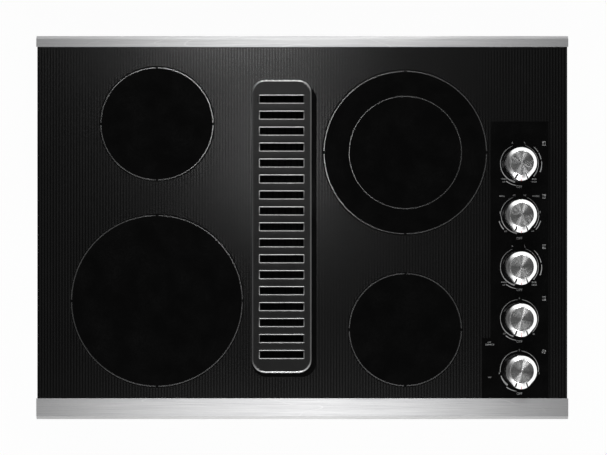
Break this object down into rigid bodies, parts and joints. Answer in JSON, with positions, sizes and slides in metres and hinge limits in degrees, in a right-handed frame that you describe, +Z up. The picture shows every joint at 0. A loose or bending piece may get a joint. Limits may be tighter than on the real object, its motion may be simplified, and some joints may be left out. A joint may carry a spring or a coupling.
{
  "type": "electric downdraft cooktop",
  "caption": "Drop-in electric cooktop: black glass in steel trims, radiant zones, centre vent grille with blower below, and a column of push-to-turn knobs.",
  "frame": {"origin": "centre of the cooktop in plan, on the worktop's surface, where the foam seal rests", "axes": "+X to the right along the trims, +Y to the rear, +Z up out of the worktop"},
  "size_m": [0.7828, 0.5642, 0.3937],
  "materials": {
    "glass": "polished black ceramic glass",
    "steel_trim": "brushed along the trim",
    "foam": "matt foam",
    "silicone": "matt",
    "galvanised": "galvanised sheet",
    "spring_steel": "blued",
    "pan_steel": "dull",
    "fibre": "matt pressed fibre",
    "ribbon": "oxidised heating alloy",
    "limiter": "glazed rod and ceramic block",
    "switch_body": "moulded",
    "terminal": "moulded",
    "lamp": "clear red",
    "duct_sheet": "galvanised sheet",
    "ring_plastic": "moulded",
    "motor_paint": "satin",
    "bright_steel": "turned",
    "zinc": "zinc plated",
    "grille": "black satin enamel on cast aluminium",
    "filter": "mill finish",
    "knob_metal": "satin with a bright rim",
    "knob_disc": "spun",
    "shaft_steel": "plated",
    "cam_plastic": "moulded"
  },
  "bodies": {
    "chassis": {"glass_top": "glass", "front_trim": "steel_trim", "rear_trim": "steel_trim", "worktop_seal": "foam", "glass_bond": "silicone", "burner_box": "galvanised", "element_rails": "galvanised", "pan_springs": "spring_steel", "element_insulation": "fibre", "limiters": "limiter", "switch_bracket": "galvanised", "element_switches": "switch_body", "fan_switch": "switch_body", "terminal_block": "terminal", "wiring_box": "galvanised", "conduit_plate": "galvanised", "wiring_cover": "galvanised", "indicator_lamps": "lamp", "plenum": "duct_sheet", "blower_housing": "duct_sheet", "inlet_ring": "ring_plastic", "blower_motor": "motor_paint", "outlet_transition": "duct_sheet", "duct_collar": "duct_sheet", "hold_down_brackets": "zinc", "fasteners": "zinc", "left_rear_pan": "pan_steel", "left_front_pan": "pan_steel", "right_rear_pan": "pan_steel", "right_front_pan": "pan_steel", "left_rear_heater": "ribbon", "left_front_heater": "ribbon", "right_rear_heater": "ribbon", "right_front_heater": "ribbon"},
    "left_rear_cam": {"left_rear_cam": "cam_plastic"},
    "left_rear_knob": {"left_rear_knob": "knob_metal", "left_rear_knob_disc": "knob_disc", "left_rear_shaft": "shaft_steel"},
    "right_rear_cam": {"right_rear_cam": "cam_plastic"},
    "right_rear_knob": {"right_rear_knob": "knob_metal", "right_rear_knob_disc": "knob_disc", "right_rear_shaft": "shaft_steel"},
    "left_front_cam": {"left_front_cam": "cam_plastic"},
    "left_front_knob": {"left_front_knob": "knob_metal", "left_front_knob_disc": "knob_disc", "left_front_shaft": "shaft_steel"},
    "right_front_cam": {"right_front_cam": "cam_plastic"},
    "right_front_knob": {"right_front_knob": "knob_metal", "right_front_knob_disc": "knob_disc", "right_front_shaft": "shaft_steel"},
    "fan_cam": {"fan_cam": "cam_plastic"},
    "fan_knob": {"fan_knob": "knob_metal", "fan_knob_disc": "knob_disc", "fan_shaft": "shaft_steel"},
    "vent_grille": {"vent_grille": "grille"},
    "grease_filter": {"filter_frame": "filter", "filter_mesh": "filter"},
    "blower_wheel": {"blower_wheel": "ring_plastic", "motor_shaft": "bright_steel"},
    "damper": {"damper_flap": "bright_steel"}
  },
  "joints": [
    {"name": "left_rear_turn", "type": "hinge", "parent": "chassis", "child": "left_rear_cam", "pos_m": [0.3196, 0.0942, 0], "axis": [0, 0, 1], "range_deg": [-320, 0]},
    {"name": "left_rear_press", "type": "slide", "parent": "left_rear_cam", "child": "left_rear_knob", "axis": [0, 0, 1], "range_m": [-0.0032, 0], "stiffness_N_per_m": 400, "springref_m": 0.006},
    {"name": "right_rear_turn", "type": "hinge", "parent": "chassis", "child": "right_rear_cam", "pos_m": [0.3196, 0.0182, 0], "axis": [0, 0, 1], "range_deg": [-160, 160]},
    {"name": "right_rear_press", "type": "slide", "parent": "right_rear_cam", "child": "right_rear_knob", "axis": [0, 0, 1], "range_m": [-0.0032, 0], "stiffness_N_per_m": 400, "springref_m": 0.006},
    {"name": "left_front_turn", "type": "hinge", "parent": "chassis", "child": "left_front_cam", "pos_m": [0.3196, -0.0578, 0], "axis": [0, 0, 1], "range_deg": [-320, 0]},
    {"name": "left_front_press", "type": "slide", "parent": "left_front_cam", "child": "left_front_knob", "axis": [0, 0, 1], "range_m": [-0.0032, 0], "stiffness_N_per_m": 400, "springref_m": 0.006},
    {"name": "right_front_turn", "type": "hinge", "parent": "chassis", "child": "right_front_cam", "pos_m": [0.3196, -0.1338, 0], "axis": [0, 0, 1], "range_deg": [-320, 0]},
    {"name": "right_front_press", "type": "slide", "parent": "right_front_cam", "child": "right_front_knob", "axis": [0, 0, 1], "range_m": [-0.0032, 0], "stiffness_N_per_m": 400, "springref_m": 0.006},
    {"name": "fan_turn", "type": "hinge", "parent": "chassis", "child": "fan_cam", "pos_m": [0.3196, -0.2098, 0], "axis": [0, 0, 1], "range_deg": [-285, 0]},
    {"name": "fan_press", "type": "slide", "parent": "fan_cam", "child": "fan_knob", "axis": [0, 0, 1], "range_m": [-0.0032, 0], "stiffness_N_per_m": 400, "springref_m": 0.006},
    {"name": "grille_lift", "type": "slide", "parent": "chassis", "child": "vent_grille", "axis": [0, 0, 1], "range_m": [0, 0.12]},
    {"name": "filter_lift", "type": "slide", "parent": "chassis", "child": "grease_filter", "axis": [0, 0, 1], "range_m": [0, 0.06]},
    {"name": "blower_spin", "type": "hinge", "parent": "chassis", "child": "blower_wheel", "pos_m": [0.0587, 0.057, -0.16222], "axis": [1, 0, 0], "continuous": true},
    {"name": "damper_swing", "type": "hinge", "parent": "chassis", "child": "damper", "pos_m": [0.0587, -0.00002, -0.32022], "axis": [1, 0, 0], "range_deg": [0, 85], "stiffness_Nm_per_rad": 0.03, "springref_deg": -17.19}
  ],
  "couplings": [
    {"joint": "filter_lift", "follows": "grille_lift", "ratio": 0.5}
  ]
}
